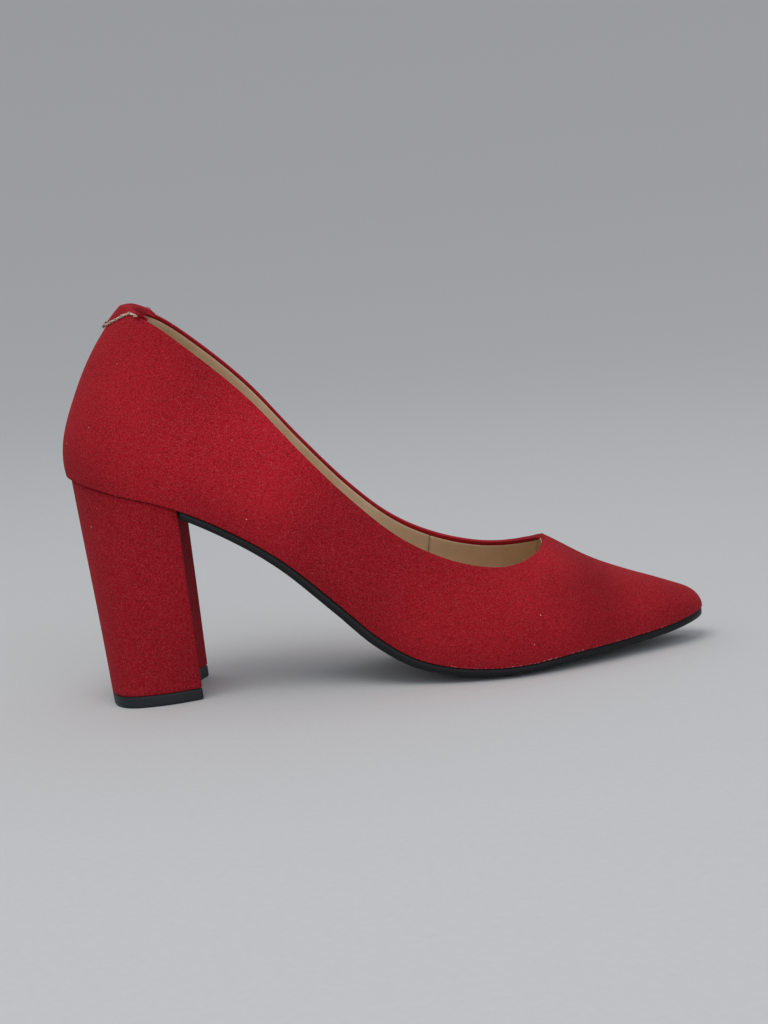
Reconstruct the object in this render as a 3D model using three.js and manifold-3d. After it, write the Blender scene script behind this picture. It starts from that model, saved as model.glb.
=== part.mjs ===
// A woman's pointed pump for the right foot, with a covered block heel, in millimetres.
// +X points to the toe, +Y to the inner side of the foot and +Z up. The shoe stands on z = 0.
// Every layer follows one foot shape, described by a few curves along the foot.
import * as THREE from "three";
import { mergeVertices } from "three/addons/utils/BufferGeometryUtils.js";
import Module from "manifold-3d";

const wasm = await Module();
wasm.setup();

// ---------- driving dimensions ----------
const TOE_X = 239; // tip of the toe; the back end is near x = 0
const SEAT_X = 28; // centre of the round heel seat
const SEAT_HALF_WIDTH = 26;
const SEAT_HALF_LENGTH = 26.8;
const NOSE = 22; // length over which the toe rounds in
const BACK_REACH = 33.8; // reach of the back curve behind the seat centre, at its fullest
const BACK_FULLEST = 28; // height of that point above the seat
const BACK_CROWN = 76; // height at which the back curve would close
const UNDERCUT = 2.6; // how sharply the wall turns in to the feather edge
const EDGE_SLOPE = 0.2;
const INNER_RAISE = 1; // the topline stands higher on the inner side

const GAP = 0.3; // clearance between touching layers
const UPPER = 1.0;
const STIFFENER = 0.7;
const INTERLINING = 0.5;
const LINING = 0.6;
const GRIP = 0.5;
const TAB = 0.8;
const BOARD = 2.0;
const FOAM = 1.7;
const SOCK = 0.7;
const MARGIN = 12; // width of upper turned under the insole
const WAIST_JOINT = 132; // x where the two insole boards meet
const FOAM_JOINT = 95; // x where heel pad and forepart foam meet
const ROWS = 8; // points up the wall from the feather edge to the topline

const SOLE_INSET = 0.4;
const SOLE_BEVEL = 0.6;
const TOP_PIECE = 4.4; // thickness of the rubber heel tip
const COVER = 0.9;
const HEEL_FOOT = { back: 9.8, widest: 25.5, front: 45, half: 25.2, corner: 20.4, power: 2.7 };
const HEEL_HEAD = { back: 3.6, widest: 28, front: 42.8, half: 25.2, corner: 24.2, power: 2.15 };
const HEEL_HEAD_Z = 78; // height at which the head's outline is given
const BREAST_HOLLOW = 4.5; // depth of the hollow in the heel's front face

// ---------- curves along the foot, as [x, value] ----------
// A smooth curve through its knots. Its slope at a knot is the weighted mean of both sides.
function curve(knots) {
  const x = knots.map((k) => k[0]);
  const y = knots.map((k) => k[1]);
  const last = x.length - 1;
  const step = x.slice(1).map((v, i) => v - x[i]);
  const rise = step.map((h, i) => (y[i + 1] - y[i]) / h);
  const slope = x.map((_, i) => {
    if (i === 0) return rise[0];
    if (i === last) return rise[last - 1];
    return (rise[i - 1] * step[i] + rise[i] * step[i - 1]) / (step[i - 1] + step[i]);
  });
  return (at) => {
    if (at <= x[0]) return y[0] + slope[0] * (at - x[0]);
    if (at >= x[last]) return y[last] + slope[last] * (at - x[last]);
    const i = x.findIndex((v) => v > at) - 1;
    const s = (at - x[i]) / step[i];
    const start = (2 * s ** 3 - 3 * s ** 2 + 1) * y[i] + (s ** 3 - 2 * s ** 2 + s) * step[i] * slope[i];
    const end = (3 * s ** 2 - 2 * s ** 3) * y[i + 1] + (s ** 3 - s ** 2) * step[i] * slope[i + 1];
    return start + end;
  };
}

// Height of the upper's underside: steep seat and waist, flat tread, a little toe spring.
const bottom = curve([
  [0, 87.3], [20, 80.5], [42, 73], [60, 63.4], [80, 49.4], [98, 32.4], [112, 18.8],
  [124, 10.7], [138, 6.4], [155, 4.6], [168, 4.6], [185, 6], [205, 7], [222, 8.5], [239, 11.6],
]);
// Half widths of the bottom, measured from y = 0.
const outerSide = curve([
  [28, 26], [45, 26], [70, 24.5], [95, 26.5], [120, 32.5], [145, 37.5], [160, 38],
  [178, 33.5], [195, 26], [212, 17], [228, 9], [239, 5],
]);
const innerSide = curve([
  [28, 26], [45, 24.5], [70, 20.5], [95, 19.5], [120, 25.5], [145, 33], [162, 35.5],
  [180, 33], [198, 27.5], [214, 21], [228, 15], [239, 12],
]);
const ridgeY = curve([[28, 0], [90, 0], [120, 1.5], [178, 4], [220, 6.5], [239, 7.5]]);
// Shape of the cross-section: forward lean, side bulge, height of the bulge, crown and roundness.
const lean = curve([[28, 0.45], [60, 0.42], [90, 0.36], [120, 0.22], [150, 0.08], [175, 0], [239, 0]]);
const bulge = curve([[28, 3.3], [60, 3], [95, 2.6], [130, 3], [165, 2.8], [200, 2.2], [239, 1.2]]);
const fullest = curve([[28, 22], [60, 18], [95, 15], [130, 13], [165, 11], [200, 8], [239, 4]]);
const crown = curve([
  [28, 80], [60, 79], [90, 76], [120, 68], [150, 55], [178, 41.4], [198, 28], [218, 17.9],
  [230, 12.5], [239, 10.4],
]);
const roundness = curve([[28, 2.3], [90, 2.2], [150, 1.9], [178, 1.75], [205, 1.9], [239, 2]]);
// The edge of the foot opening, seen from the side.
const topline = curve([
  [22, 148], [30, 146.9], [40, 141.6], [54, 130], [72, 112.2], [90, 89.8], [107, 70.2], [122, 56.2],
  [138, 46.7], [150, 42.4], [160, 40.6], [168, 40.8], [173, 42], [177.4, 43.9], [179.6, 46], [181, 49.6],
]);
// Thickness of the outsole along its rim, and along its middle, where it bulges down to the floor.
const soleRim = curve([[40, 2.5], [110, 3.2], [140, 2.9], [160, 2.5], [200, 2.5], [239, 2.7]]);
const soleMiddle = curve([[40, 2.5], [110, 3.2], [140, 4], [156, 5], [178, 5], [200, 3.6], [239, 2.8]]);

const slopeOf = (f, x) => f(x + 0.5) - f(x - 0.5);
const steepness = (x) => Math.hypot(1, slopeOf(bottom, x));
const clamp = THREE.MathUtils.clamp;
const lerp = THREE.MathUtils.lerp;
const between = (a, b, t) => a.map((v, i) => v + (b[i] - v) * t);
const distance = (a, b) => Math.hypot(...a.map((v, i) => v - b[i]));

// ---------- solids ----------
// A geometry whose equal corners are merged and whose collapsed faces are dropped.
function weld(corners, faces) {
  const index = new Map();
  const position = [];
  const number = corners.map((p) => {
    const key = p.map((v) => Math.round(v * 2000)).join();
    if (!index.has(key)) {
      index.set(key, position.length / 3);
      position.push(...p);
    }
    return index.get(key);
  });
  const triangles = [];
  for (const face of faces) {
    for (let i = 1; i < face.length - 1; i++) {
      const t = [face[0], face[i], face[i + 1]].map((v) => number[v]);
      if (new Set(t).size === 3) triangles.push(...t);
    }
  }
  const geometry = new THREE.BufferGeometry();
  geometry.setAttribute("position", new THREE.Float32BufferAttribute(position, 3));
  geometry.setIndex(triangles);
  return geometry;
}

// A solid through rings of equal size. Each ring is flat and thin, so its ends are closed from side to side.
// open(i, j) leaves out the quad after ring i and corner j.
function loft(rings, open = () => false) {
  const size = rings[0].length;
  const at = (i, j) => i * size + (j % size);
  const faces = [];
  for (let i = 0; i < rings.length - 1; i++) {
    for (let j = 0; j < size; j++) {
      if (!open(i, j)) faces.push([at(i, j), at(i, j + 1), at(i + 1, j + 1), at(i + 1, j)]);
    }
  }
  const end = rings.length - 1;
  for (let j = 0; j < size / 2 - 1; j++) {
    const k = size - 1 - j;
    faces.push([at(0, j), at(0, k), at(0, k - 1), at(0, j + 1)]);
    faces.push([at(end, j + 1), at(end, k - 1), at(end, k), at(end, j)]);
  }
  return weld(rings.flat(), faces);
}

function toManifold(geometry) {
  const bare = geometry.clone();
  bare.deleteAttribute("normal");
  bare.deleteAttribute("uv");
  const merged = mergeVertices(bare, 1e-4);
  return new wasm.Manifold(
    new wasm.Mesh({
      numProp: 3,
      vertProperties: new Float32Array(merged.attributes.position.array),
      triVerts: new Uint32Array(merged.index.array),
    }),
  );
}

function toGeometry(solid) {
  const mesh = solid.getMesh();
  const geometry = new THREE.BufferGeometry();
  geometry.setAttribute("position", new THREE.BufferAttribute(new Float32Array(mesh.vertProperties), 3));
  geometry.setIndex(new THREE.BufferAttribute(new Uint32Array(mesh.triVerts), 1));
  return geometry;
}

function subtract(geometry, ...cutters) {
  return toGeometry(cutters.reduce((solid, c) => solid.subtract(toManifold(c)), toManifold(geometry)));
}

// ---------- the foot shape ----------
// u runs along one side: -1 at the back of the heel, 0 at the seat's side, 1 at the throat, 2 at the toe.
// How far below the topline a face at this depth ends: the edge of the opening slopes inward.
const edgeDrop = (depth) => EDGE_SLOPE * Math.max(0, depth);

// Where the ridge meets the edge of the foot opening.
function throatX(depth) {
  let low = 165;
  let high = 182;
  while (high - low > 1e-6) {
    const mid = (low + high) / 2;
    if (bottom(mid) + crown(mid) - depth > topline(mid) - edgeDrop(depth)) low = mid;
    else high = mid;
  }
  return low;
}

function alongX(u, depth) {
  const throat = throatX(depth);
  if (u <= 1) return SEAT_X + (throat - SEAT_X) * (1 - (1 - u) ** 1.8);
  return throat + (TOE_X - depth - throat) * Math.sin(((u - 1) * Math.PI) / 2);
}

// Share of the full width that is left where the toe rounds in towards its tip.
function nose(x, tip) {
  const s = clamp((x - (tip - NOSE)) / NOSE, 0, 1);
  return Math.sqrt(1 - s ** 3.2);
}

// The sizes of the cross-section at u. side is -1 on the outer side of the foot and 1 on the inner side.
function sectionAt(u, side, inset) {
  if (u < 0) {
    const angle = (-u * Math.PI) / 2;
    const back = Math.sin(angle) ** 2;
    const reach = 1 / Math.hypot(Math.sin(angle) / SEAT_HALF_LENGTH, Math.cos(angle) / SEAT_HALF_WIDTH);
    return {
      origin: [SEAT_X, 0],
      direction: [-Math.sin(angle), side * Math.cos(angle)],
      footX: SEAT_X - (reach - inset) * Math.sin(angle),
      foot: reach - inset,
      full: lerp(SEAT_HALF_WIDTH + bulge(SEAT_X), BACK_REACH, back) - inset,
      fullest: lerp(fullest(SEAT_X), BACK_FULLEST, back),
      crown: lerp(crown(SEAT_X), BACK_CROWN, back) - inset,
      lean: lean(SEAT_X),
      roundness: roundness(SEAT_X),
    };
  }
  const x = alongX(u, inset);
  const round = nose(x, TOE_X - inset);
  const half = side < 0 ? outerSide(x) + ridgeY(x) : innerSide(x) - ridgeY(x);
  return {
    origin: [x, ridgeY(x)],
    direction: [0, side],
    footX: x,
    foot: (half - inset) * round,
    full: (half + bulge(x) - inset) * round,
    fullest: fullest(x) * round,
    crown: (crown(x) - inset) * round,
    lean: lean(x),
    roundness: roundness(x),
  };
}

// Points of the section up to the ridge, starting at lift above the bottom.
function sectionPoints(u, side, inset, lift) {
  const s = sectionAt(u, side, inset);
  const ground = bottom(s.footX);
  const start = (lift * steepness(s.footX)) / (1 - slopeOf(bottom, s.footX) * s.lean);
  const pointAt = (reach, height) => {
    const x = s.origin[0] + s.direction[0] * reach + s.lean * height;
    return [x, s.origin[1] + s.direction[1] * reach, ground + height];
  };
  if (start >= s.crown) return [pointAt(0, start), pointAt(0, start)];
  const points = [];
  const below = 16;
  for (let i = 0; i < below && start < s.fullest; i++) {
    const height = lerp(start, s.fullest, i / below);
    points.push(pointAt(s.full - (s.full - s.foot) * (1 - height / s.fullest) ** UNDERCUT, height));
  }
  const above = 48;
  const exponent = 2 / s.roundness;
  const arch = s.crown - s.fullest;
  const first = Math.asin(clamp((start - s.fullest) / arch, 0, 1) ** (1 / exponent));
  for (let i = 0; i <= above; i++) {
    const angle = lerp(first, Math.PI / 2, i / above);
    const reach = i === above ? 0 : s.full * Math.cos(angle) ** exponent;
    points.push(pointAt(reach, s.fullest + arch * Math.sin(angle) ** exponent));
  }
  return points;
}

// Cuts the section where it passes the topline lowered by drop, or a height limit above its start.
function cutAtTopline(points, u, side, drop = 0, limit = Infinity) {
  const raise = side > 0 ? INNER_RAISE * clamp((1 - u) * 4, 0, 1) * clamp((u + 1) * 4, 0, 1) : 0;
  const over = (p) => {
    const top = u >= 1 ? Infinity : topline(p[0]) + raise - drop;
    return p[2] - Math.min(top, points[0][2] + limit);
  };
  const i = points.findIndex((p) => over(p) > 0);
  if (i < 1) return points;
  const before = over(points[i - 1]);
  return [...points.slice(0, i), between(points[i - 1], points[i], before / (before - over(points[i])))];
}

// The same polyline with the given number of points at even spacing.
function evenly(points, count) {
  const lengths = [0];
  points.slice(1).forEach((p, i) => lengths.push(lengths[i] + distance(p, points[i])));
  return Array.from({ length: count }, (_, k) => {
    if (k === count - 1) return points.at(-1);
    const at = (lengths.at(-1) * k) / (count - 1);
    const i = Math.max(1, lengths.findIndex((v) => v > at));
    const span = lengths[i] - lengths[i - 1];
    return span ? between(points[i - 1], points[i], (at - lengths[i - 1]) / span) : points[0];
  });
}

// The wall's points up to the topline. All layers share these rows and stations, so their facets nest.
function wallRows(u, side, depth, lift) {
  return evenly(cutAtTopline(sectionPoints(u, side, depth, lift), u, side, edgeDrop(depth)), ROWS);
}

const SEAT_TO_THROAT = 17; // stations between the seat and the throat
const THROAT_TO_TOE = 11;
const extraStation = [0, 1, 2, 6, 7]; // halved steps under the seat and where the bottom bends most
const counterEnd = 5 / SEAT_TO_THROAT;
const liningSeam = 8 / SEAT_TO_THROAT;
const puffEnd = 1 + 3 / THROAT_TO_TOE;

function stations(from, to) {
  const all = [-1, -0.85, -0.7, -0.55, -0.4, -0.2];
  for (let i = 0; i < SEAT_TO_THROAT; i++) {
    all.push(i / SEAT_TO_THROAT);
    if (extraStation.includes(i)) all.push((i + 0.5) / SEAT_TO_THROAT);
  }
  for (let i = 0; i <= THROAT_TO_TOE; i++) all.push(1 + i / THROAT_TO_TOE);
  return [from, ...all.filter((u) => u > from + 0.01 && u < to - 0.01), to];
}

// Joins the rings of both sides of the foot into one solid. rim is the corner after which the free edge runs:
// it is left out in front of the throat, where both sides meet along the ridge.
function joinSides(ringAt, from, to, rim) {
  const used = stations(from, to);
  const outer = used.map((u) => ringAt(u, -1)).reverse();
  const inner = used.map((u) => ringAt(u, 1));
  const closedRidge = (order) => (i, j) => j === rim && order[i] >= 1 && order[i + 1] >= 1;
  const backward = [...used].reverse();
  if (from <= -1) {
    return loft([...outer, ...inner.slice(1)], closedRidge([...backward, ...used.slice(1)]));
  }
  const halves = [loft(outer, closedRidge(backward)), loft(inner, closedRidge(used))];
  const corners = [];
  const faces = [];
  for (const half of halves) {
    const start = corners.length;
    const p = half.attributes.position;
    for (let i = 0; i < p.count; i++) corners.push([p.getX(i), p.getY(i), p.getZ(i)]);
    const index = half.index.array;
    for (let i = 0; i < index.length; i += 3) faces.push([0, 1, 2].map((k) => start + index[i + k]));
  }
  return weld(corners, faces);
}

// One layer of the wall, from u = from to u = to on both sides of the foot.
// depth is its distance from the shoe's outer face, lift its height above the bottom, and
// margin the width that is turned under the insole.
function wallLayer({
  from, to, depth, thickness, lift, drop = 0, limit = () => Infinity, margin = 0,
}) {
  const wall = (u, side, extra) => {
    const rows = wallRows(u, side, depth + extra, margin ? lift + extra : lift);
    const points = cutAtTopline(rows, u, side, drop, limit(u));
    return [...points, ...Array(ROWS - points.length).fill(points.at(-1))];
  };
  const turned = (u, side, extra) => {
    const s = sectionAt(u, side, depth);
    const reach = Math.max(s.foot - margin, 0.45 * s.foot);
    const x = s.origin[0] + s.direction[0] * reach;
    return [x, s.origin[1] + s.direction[1] * reach, bottom(x) + (lift + extra) * steepness(x)];
  };
  const ring = (u, side) => {
    const out = wall(u, side, 0);
    const back = wall(u, side, thickness).reverse();
    if (!margin) return [...out, ...back];
    if (u >= 2) return [out[0], ...out, ...back, back.at(-1)];
    return [turned(u, side, 0), ...out, ...back, turned(u, side, thickness)];
  };
  return joinSides(ring, from, to, margin ? ROWS : ROWS - 1);
}

// A point of the wall, at the given depth and drop below the topline.
function wallPoint(u, side, depth, drop, lift = 0) {
  return cutAtTopline(wallRows(u, side, depth, lift), u, side, drop).at(-1);
}

// A strip of the wall that follows the topline, through the given drops, lowest first.
function wallStrip({ to, depth, thickness, drops }) {
  const ring = (u, side) => [
    ...drops.map((d) => wallPoint(u, side, depth, d, liningLift)),
    ...[...drops].reverse().map((d) => wallPoint(u, side, depth + thickness, d, liningLift)),
  ];
  return joinSides(ring, -1, to, -1);
}

// ---------- layers under the foot ----------
// A point at distance d from the bottom, square to it.
function offBottom(x, y, d) {
  const s = slopeOf(bottom, x);
  return [x - (s / steepness(x)) * d, y, bottom(x) + d / steepness(x)];
}

// The side limits of the bottom at x, drawn in by inset, on a shape that ends at tip.
function sideLimits(x, inset, tip) {
  if (x < SEAT_X) {
    const s = clamp((SEAT_X - x) / (SEAT_HALF_LENGTH - inset), 0, 1);
    const half = (SEAT_HALF_WIDTH - inset) * Math.sqrt(1 - s * s);
    return [-half, half];
  }
  const round = nose(x, tip);
  const outer = outerSide(x) + ridgeY(x) - inset;
  const inner = innerSide(x) - ridgeY(x) - inset;
  return [ridgeY(x) - outer * round, ridgeY(x) + inner * round];
}

// Places along x that crowd together where an end is round.
function places(from, to, count, roundStart, roundEnd) {
  const ease = (t) => {
    if (roundStart && roundEnd) return (1 - Math.cos(Math.PI * t)) / 2;
    if (roundStart) return 1 - Math.cos((Math.PI * t) / 2);
    if (roundEnd) return Math.sin((Math.PI * t) / 2);
    return t;
  };
  return Array.from({ length: count + 1 }, (_, i) => lerp(from, to, ease(i / count)));
}

// A sheet that follows the bottom from distance low to distance high.
// Without from it has the round heel end; without to it has the pointed toe end.
function bottomSheet({ low, high, inset, from, to, tip = TOE_X - inset, count = 36 }) {
  const start = from ?? SEAT_X - SEAT_HALF_LENGTH + inset;
  // Between the round ends, the sides follow the leaning wall.
  const corner = (x, side, d) => {
    const [px, , pz] = offBottom(x, 0, d);
    const at = x > SEAT_X && x < 190 ? px - lean(px) * d : x;
    return [px, sideLimits(at, inset, tip)[side], pz];
  };
  const rings = places(start, to ?? tip, count, from === undefined, to === undefined).map((x) => [
    corner(x, 0, low), corner(x, 1, low), corner(x, 1, high), corner(x, 0, high),
  ]);
  return loft(rings);
}

// A strip of constant width along the middle of the foot.
function bottomStrip({ low, high, from, to, halfWidth, count }) {
  const rings = places(from, to, count, false, false).map((x) => {
    const [outer, inner] = sideLimits(x, MARGIN, TOE_X);
    const middle = (outer + inner) / 2;
    const [a, b] = [middle - halfWidth, middle + halfWidth];
    return [offBottom(x, a, low), offBottom(x, b, low), offBottom(x, b, high), offBottom(x, a, high)];
  });
  return loft(rings);
}

// ---------- the outsole ----------
// How far the heel's front face is hollowed at y.
function breastHollow(y, corner) {
  return BREAST_HOLLOW * Math.max(0, 1 - (y / corner) ** 2);
}

function outsole() {
  const across = 9;
  const start = HEEL_HEAD.front + 0.8;
  const tip = TOE_X - SOLE_INSET;
  const rings = places(start, tip, 44, false, true).map((x) => {
    const low = [];
    const high = [];
    const fade = clamp(1 - (x - start) / 25, 0, 1);
    for (let i = 0; i < across; i++) {
      const s = i / (across - 1);
      const [outer, inner] = sideLimits(x, SOLE_INSET, tip);
      const at = x - fade * breastHollow(lerp(outer, inner, s), HEEL_HEAD.corner);
      const bevel = Math.min(SOLE_BEVEL, (inner - outer) / 4);
      const thickness = lerp(soleMiddle(at), soleRim(at), (2 * s - 1) ** 4);
      const underside = bottom(at) - (GAP + thickness) * steepness(at);
      high.push([at, lerp(outer, inner, s), bottom(at) - GAP * steepness(at)]);
      low.push([at, lerp(outer + bevel, inner - bevel, s), Math.max(0, underside)]);
    }
    return [...low, ...high.reverse()];
  });
  return loft(rings);
}

// ---------- the heel ----------
// The heel's outline at height z, drawn in by inset: round back, full sides and hollow front.
function heelOutline(z, inset) {
  const t = (z - TOP_PIECE) / (HEEL_HEAD_Z - TOP_PIECE);
  const size = (key) => lerp(HEEL_FOOT[key], HEEL_HEAD[key], t);
  const back = size("back") + inset;
  const front = size("front") - inset;
  const half = size("half") - inset;
  const corner = size("corner") - inset;
  const widest = size("widest");
  const points = [];
  const bend = 18;
  for (let i = 0; i <= bend; i++) {
    const angle = (Math.PI / 2) * (1 - (2 * i) / bend);
    const reach = i % bend ? Math.cos(angle) ** (2 / size("power")) : 0;
    const across = Math.sign(Math.sin(angle)) * Math.abs(Math.sin(angle)) ** (2 / size("power"));
    points.push([widest - (widest - back) * reach, half * across, z]);
  }
  const sides = 4;
  const side = (i) => [lerp(widest, front, i / sides), lerp(half, corner, (i / sides) ** 2)];
  for (let i = 1; i <= sides; i++) points.push([side(i)[0], -side(i)[1], z]);
  const breast = 6;
  for (let i = 1; i < breast; i++) {
    const y = lerp(-corner, corner, i / breast);
    points.push([front - breastHollow(y, corner), y, z]);
  }
  for (let i = sides; i >= 1; i--) points.push([...side(i), z]);
  return points;
}

// A column with the heel's outline between two heights.
function heelColumn(inset, low, high, levels = 6) {
  const rings = places(low, high, levels, false, false).map((z) => heelOutline(z, inset));
  const size = rings[0].length;
  const faces = [];
  for (let i = 0; i < levels; i++) {
    for (let j = 0; j < size; j++) {
      const k = (j + 1) % size;
      faces.push([i * size + j, i * size + k, (i + 1) * size + k, (i + 1) * size + j]);
    }
  }
  const shape = rings[0].map(([x, y]) => new THREE.Vector2(x, y));
  const top = levels * size;
  for (const [a, b, c] of THREE.ShapeUtils.triangulateShape(shape, [])) {
    faces.push([c, b, a], [top + a, top + b, top + c]);
  }
  return weld(rings.flat(), faces);
}

// Everything above the heel's head, to be cut away.
function aboveHeel() {
  const rings = places(-10, 62, 36, false, false).map((x) => {
    const low = bottom(x) - GAP * steepness(x);
    return [[x, -40, low], [x, 40, low], [x, 40, 130], [x, -40, 130]];
  });
  return loft(rings);
}

// Two pockets from the head down, which leave a rib in the middle for the fasteners.
function pocket(side) {
  const box = new THREE.BoxGeometry(16, 9.5, 80);
  box.translate(28, side * 13.5, 18 + 40);
  return box;
}

// ---------- fasteners ----------
// A turned part with its axis square to the bottom at x. profile holds [radius, distance from the bottom].
function squareToBottom(profile, x, y, grow = 0) {
  const ends = [profile[0][1], profile.at(-1)[1]];
  const points = profile.map(([radius, d]) => {
    const push = d === ends[0] ? -grow : d === ends[1] ? grow : 0;
    return new THREE.Vector2(radius ? radius + grow : 0, d + push);
  });
  const solid = new THREE.LatheGeometry(points, 12);
  const normal = new THREE.Vector3(-slopeOf(bottom, x), 0, 1).normalize();
  solid.applyQuaternion(new THREE.Quaternion().setFromUnitVectors(new THREE.Vector3(0, 1, 0), normal));
  solid.translate(x, y, bottom(x));
  return solid;
}

function upright(radius, low, high, x) {
  const pin = new THREE.CylinderGeometry(radius, radius, high - low, 12);
  pin.rotateX(Math.PI / 2);
  pin.translate(x, 0, (low + high) / 2);
  return pin;
}

// ---------- heights of the layers above the bottom ----------
const marginTop = UPPER;
const liningLift = marginTop + GAP;
const boardLow = liningLift + LINING + GAP;
const boardHigh = boardLow + BOARD;
const foamLow = boardHigh + GAP;
const foamHigh = foamLow + FOAM;
const sockLow = foamHigh + GAP;
const stiffenerDepth = UPPER + GAP;
const interliningDepth = stiffenerDepth + 0.1;
const liningDepth = stiffenerDepth + STIFFENER + GAP;
const gripDepth = liningDepth + LINING + GAP;
const insoleInset = liningDepth + LINING + GAP + 0.1;

const nailProfile = [
  [0, -17], [0.9, -16], [0.9, boardHigh - 0.8], [1.8, boardHigh - 0.7], [1.8, boardHigh], [0, boardHigh],
];
const screwProfile = [
  [0, -29], [2, -27], [2, boardHigh - 2], [3.6, boardHigh - 1], [3.6, boardHigh], [0, boardHigh],
];
const rivetProfile = [[0, 0.4], [2.4, 0.4], [2.4, 0.6], [1.5, 0.7], [1.5, boardHigh], [0, boardHigh]];
const nailPlaces = [[19, -5.5], [19, 5.5], [36, -5.5], [36, 5.5]];
const rivetPlaces = [50, 120];
const rivetY = (x) => {
  const [outer, inner] = sideLimits(x, MARGIN, TOE_X);
  return (outer + inner) / 2;
};
const pinPlaces = [20, 35];

const holes = [
  ...nailPlaces.map(([x, y]) => squareToBottom(nailProfile, x, y, GAP)),
  squareToBottom(screwProfile, SEAT_X, 0, GAP),
];
const rivetHoles = rivetPlaces.map((x) => squareToBottom(rivetProfile, x, rivetY(x), GAP));
const pinHoles = pinPlaces.map((x) => upright(1.5 + GAP, 1.2, 16.3, x));

// ---------- wall layers ----------
const upper = wallLayer({ from: -1, to: 2, depth: 0, thickness: UPPER, lift: 0, margin: MARGIN });

// The counter stands 46 mm high at the back and falls away forward.
const heelCounter = wallLayer({
  from: -1, to: counterEnd - 0.001, depth: stiffenerDepth, thickness: STIFFENER, lift: liningLift,
  drop: 8,
  limit: (u) => 46 - 22 * clamp((u + 0.4) / 0.68, 0, 1),
});
const interlining = wallLayer({
  from: 1 + 1 / THROAT_TO_TOE, to: puffEnd - 0.002, depth: interliningDepth, thickness: INTERLINING,
  lift: liningLift,
});
const toePuff = wallLayer({
  from: puffEnd + 0.002, to: 2, depth: stiffenerDepth, thickness: STIFFENER, lift: liningLift,
});
const toplineTape = wallStrip({
  to: 13.9 / SEAT_TO_THROAT, depth: stiffenerDepth, thickness: STIFFENER, drops: [7, 4, 1.6],
});
const quarterLining = wallLayer({
  from: -1, to: liningSeam - 0.001, depth: liningDepth, thickness: LINING, lift: liningLift,
  margin: 9,
});
const vampLining = wallLayer({
  from: liningSeam + 0.001, to: 2, depth: liningDepth, thickness: LINING, lift: liningLift,
  margin: 9,
});
const heelGrip = wallStrip({ to: -0.1, depth: gripDepth, thickness: GRIP, drops: [40, 28, 18, 8.5] });

// The tab is folded over the topline: down the outside, over the edge and down the inside.
// It is deepest at the back seam and runs out towards its ends.
function backTab() {
  const end = -0.52;
  const rise = 0.45;
  const ring = (u, side) => {
    const deep = lerp(6.2, 1.2, (u + 1) / (end + 1));
    const at = (depth, drop) => wallPoint(u, side, depth, drop);
    const over = (depth, height) => {
      const [x, y] = at(depth, 0);
      return [x + lean(SEAT_X) * height, y, at(clamp(depth, 0, liningDepth + LINING), 0)[2] + height];
    };
    return [
      at(-GAP - TAB, deep), at(-GAP - TAB, deep / 2), over(-GAP - TAB, rise), over(0, rise + TAB),
      over(liningDepth + LINING, rise + TAB), over(gripDepth + TAB, rise), at(gripDepth + TAB, deep / 2),
      at(gripDepth + TAB, deep), at(gripDepth, deep), at(gripDepth, deep / 2), over(gripDepth, rise),
      over(liningDepth, rise), over(0.6, rise), over(-GAP, rise), at(-GAP, deep / 2), at(-GAP, deep),
    ];
  };
  return joinSides(ring, -1, end, -1);
}

// ---------- layers under the foot ----------
const boardBack = subtract(
  bottomSheet({ low: boardLow, high: boardHigh, inset: insoleInset, to: WAIST_JOINT - GAP / 2, count: 22 }),
  ...holes, ...rivetHoles,
);
const boardFront = bottomSheet({
  low: boardLow, high: boardHigh, inset: insoleInset, from: WAIST_JOINT + GAP / 2, tip: 232, count: 18,
});
const shank = subtract(
  bottomStrip({ low: 0.7, high: 1.9, from: 21, to: 128, halfWidth: 5.5, count: 22 }),
  ...holes, ...rivetHoles,
);
const filler = bottomSheet({ low: 0.1, high: 1.9, inset: MARGIN + 1, from: 131, tip: 216, count: 12 });
const heelPad = bottomSheet({
  low: foamLow, high: foamHigh, inset: insoleInset, to: FOAM_JOINT - GAP / 2, count: 18,
});
const foam = bottomSheet({
  low: foamLow, high: foamHigh, inset: insoleInset, from: FOAM_JOINT + GAP / 2, tip: 226, count: 24,
});
const sock = bottomSheet({ low: sockLow, high: sockLow + SOCK, inset: insoleInset, tip: 223, count: 36 });

// ---------- heel parts ----------
const coverLow = TOP_PIECE + GAP;
const heelBlock = subtract(
  heelColumn(COVER + GAP, coverLow, 96),
  aboveHeel(), pocket(-1), pocket(1), ...holes, ...pinHoles,
);
const heelCover = subtract(
  heelColumn(0, coverLow, 96),
  heelColumn(COVER, 0, 100), aboveHeel(),
);
const topPiece = subtract(heelColumn(0, 0, TOP_PIECE, 1), ...pinHoles);

// ---------- the shoe ----------
const shoe = new THREE.Group();
shoe.name = "high_heel_pump";

const suede = { color: 0x821b25, roughness: 0.95, metalness: 0 };
const lining = { color: 0xc9ab8b, roughness: 0.6, metalness: 0 };
const textile = { color: 0xe4dfd2, roughness: 0.9, metalness: 0 };
const stiff = { color: 0xb9a583, roughness: 0.85, metalness: 0 };
const board = { color: 0x9a7b58, roughness: 0.9, metalness: 0 };
const softFoam = { color: 0xe9dfc4, roughness: 0.95, metalness: 0 };
const steel = { color: 0xa9abad, roughness: 0.35, metalness: 1 };
const brass = { color: 0xb8964f, roughness: 0.35, metalness: 1 };
const blackSole = { color: 0x1b1c1e, roughness: 0.5, metalness: 0 };
const rubber = { color: 0x17181a, roughness: 0.7, metalness: 0 };
const plastic = { color: 0xe6e3da, roughness: 0.45, metalness: 0 };
const cork = { color: 0xa5774a, roughness: 0.95, metalness: 0 };

function addPart(name, geometry, look) {
  const mesh = new THREE.Mesh(geometry, new THREE.MeshStandardMaterial(look));
  mesh.name = name;
  shoe.add(mesh);
}

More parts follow.
